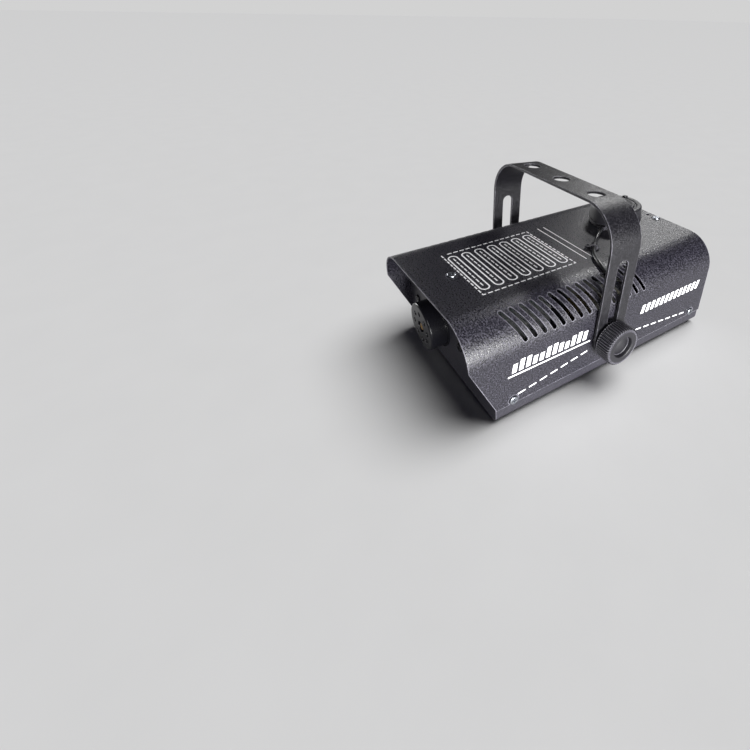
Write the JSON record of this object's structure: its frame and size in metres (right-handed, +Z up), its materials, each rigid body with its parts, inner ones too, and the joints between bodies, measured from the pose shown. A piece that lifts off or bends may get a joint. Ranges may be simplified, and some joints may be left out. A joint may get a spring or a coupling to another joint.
{
  "type": "fog machine",
  "caption": "Small disco fog machine: bent sheet steel case with hooded front, round nozzle guard, side vents, screw filler cap and slotted yoke with ribbed clamp knobs.",
  "frame": {"origin": "centre of the overall length and width, on the surface the four feet stand on", "axes": "+Z up; fog leaves towards -Y; +X is the side with the rear sockets, -X the side the nozzle is nearer to"},
  "size_m": [0.1766, 0.2336, 0.1364],
  "materials": {
    "powder_black": "fine-textured satin black powder coat",
    "gloss_black": "smooth gloss black enamel",
    "plastic_black": "moulded black nylon, satin",
    "zinc_steel": "bright zinc-plated steel",
    "galvanised": "galvanised sheet steel",
    "brass": "turned brass",
    "aluminium": "cast aluminium, as machined",
    "rubber_black": "black rubber",
    "silicone": "translucent silicone rubber",
    "tank_white": "natural blow-moulded polyethylene",
    "wool": "glass fibre insulation",
    "coil_tape": "yellow coil tape over a copper winding",
    "rocker_red": "red polished switch rocker",
    "terminal_cream": "cream terminal block",
    "fuse_glass": "clear glass fuse tube"
  },
  "bodies": {
    "case": {"cover": "powder_black", "tray": "powder_black", "nozzle_guard": "gloss_black", "foot_front_left": "rubber_black", "foot_front_right": "rubber_black", "foot_rear_left": "rubber_black", "foot_rear_right": "rubber_black", "tether": "rubber_black", "supply_lead": "rubber_black", "heater_lead": "rubber_black", "side_screw_front_left": "zinc_steel", "side_screw_front_right": "zinc_steel", "side_screw_rear_left": "zinc_steel", "side_screw_rear_right": "zinc_steel", "top_screw_front": "zinc_steel", "top_screw_rear": "zinc_steel", "ear_screw_left": "zinc_steel", "ear_screw_right": "zinc_steel", "clamp_nut_left": "zinc_steel", "clamp_nut_right": "zinc_steel", "pump_spring": "zinc_steel", "feed_pipe": "zinc_steel", "heater_element": "zinc_steel", "thermostat_front": "zinc_steel", "thermostat_rear": "zinc_steel", "nozzle": "brass", "pump_core": "brass", "heater_block": "aluminium", "insulation": "wool", "heater_cradle": "galvanised", "heater_shroud": "galvanised", "tank_strap": "galvanised", "pump_bracket": "galvanised", "tether_clip": "plastic_black", "tether_anchor": "plastic_black", "mains_inlet": "plastic_black", "rocker_switch": "plastic_black", "remote_socket": "plastic_black", "tank": "tank_white", "tank_filter": "tank_white", "suction_hose": "silicone", "pump_coil": "coil_tape", "terminal_block": "terminal_cream"},
    "pads": {"friction_pad_left": "plastic_black", "friction_pad_right": "plastic_black"},
    "yoke": {"yoke": "powder_black"},
    "clamp_left": {"washer_left": "zinc_steel"},
    "clamp_right": {"washer_right": "zinc_steel"},
    "knob_left": {"knob_left": "plastic_black", "stud_left": "zinc_steel"},
    "knob_right": {"knob_right": "plastic_black", "stud_right": "zinc_steel"},
    "tether_ring": {"tether_ring": "plastic_black"},
    "cap": {"cap": "plastic_black", "cap_rivet": "zinc_steel", "cap_seal": "rubber_black"},
    "rocker": {"rocker": "rocker_red"},
    "fuse_drawer": {"fuse_drawer": "plastic_black", "fuse": "fuse_glass"},
    "pump_piston": {"pump_piston": "zinc_steel"}
  },
  "joints": [
    {"name": "yoke_swing", "type": "hinge", "parent": "case", "child": "pads", "pos_m": [0, -0.00425, 0.038], "axis": [1, 0, 0], "range_deg": [-17, 45]},
    {"name": "yoke_slide", "type": "slide", "parent": "pads", "child": "yoke", "axis": [0, -0.0767, -0.9971], "range_m": [0, 0.02]},
    {"name": "knob_right_out", "type": "slide", "parent": "case", "child": "clamp_right", "axis": [1, 0, 0], "range_m": [0, 0.00375]},
    {"name": "knob_right_turn", "type": "hinge", "parent": "clamp_right", "child": "knob_right", "pos_m": [0, -0.00425, 0.038], "axis": [1, 0, 0], "range_deg": [0, 1080]},
    {"name": "knob_left_out", "type": "slide", "parent": "case", "child": "clamp_left", "axis": [-1, 0, 0], "range_m": [0, 0.00375]},
    {"name": "knob_left_turn", "type": "hinge", "parent": "clamp_left", "child": "knob_left", "pos_m": [0, -0.00425, 0.038], "axis": [-1, 0, 0], "range_deg": [0, 1080]},
    {"name": "cap_lift", "type": "slide", "parent": "case", "child": "tether_ring", "axis": [0, 0, 1], "range_m": [0, 0.009]},
    {"name": "cap_turn", "type": "hinge", "parent": "tether_ring", "child": "cap", "pos_m": [-0.005, 0.06975, 0.083], "axis": [0, 0, 1], "range_deg": [0, 810]},
    {"name": "rocker_tip", "type": "hinge", "parent": "case", "child": "rocker", "pos_m": [0.052, 0.11175, 0.0595], "axis": [1, 0, 0], "range_deg": [-16, 0]},
    {"name": "fuse_drawer_out", "type": "slide", "parent": "case", "child": "fuse_drawer", "axis": [0, 1, 0], "range_m": [0, 0.014]},
    {"name": "pump_stroke", "type": "slide", "parent": "case", "child": "pump_piston", "axis": [1, 0, 0], "range_m": [0, 0.002], "stiffness_N_per_m": 300, "springref_m": -0.003}
  ],
  "couplings": [
    {"joint": "knob_right_turn", "follows": "knob_right_out", "rad_per_m": 5026.5},
    {"joint": "knob_left_turn", "follows": "knob_left_out", "rad_per_m": 5026.5},
    {"joint": "cap_turn", "follows": "cap_lift", "rad_per_m": 1570.8}
  ]
}
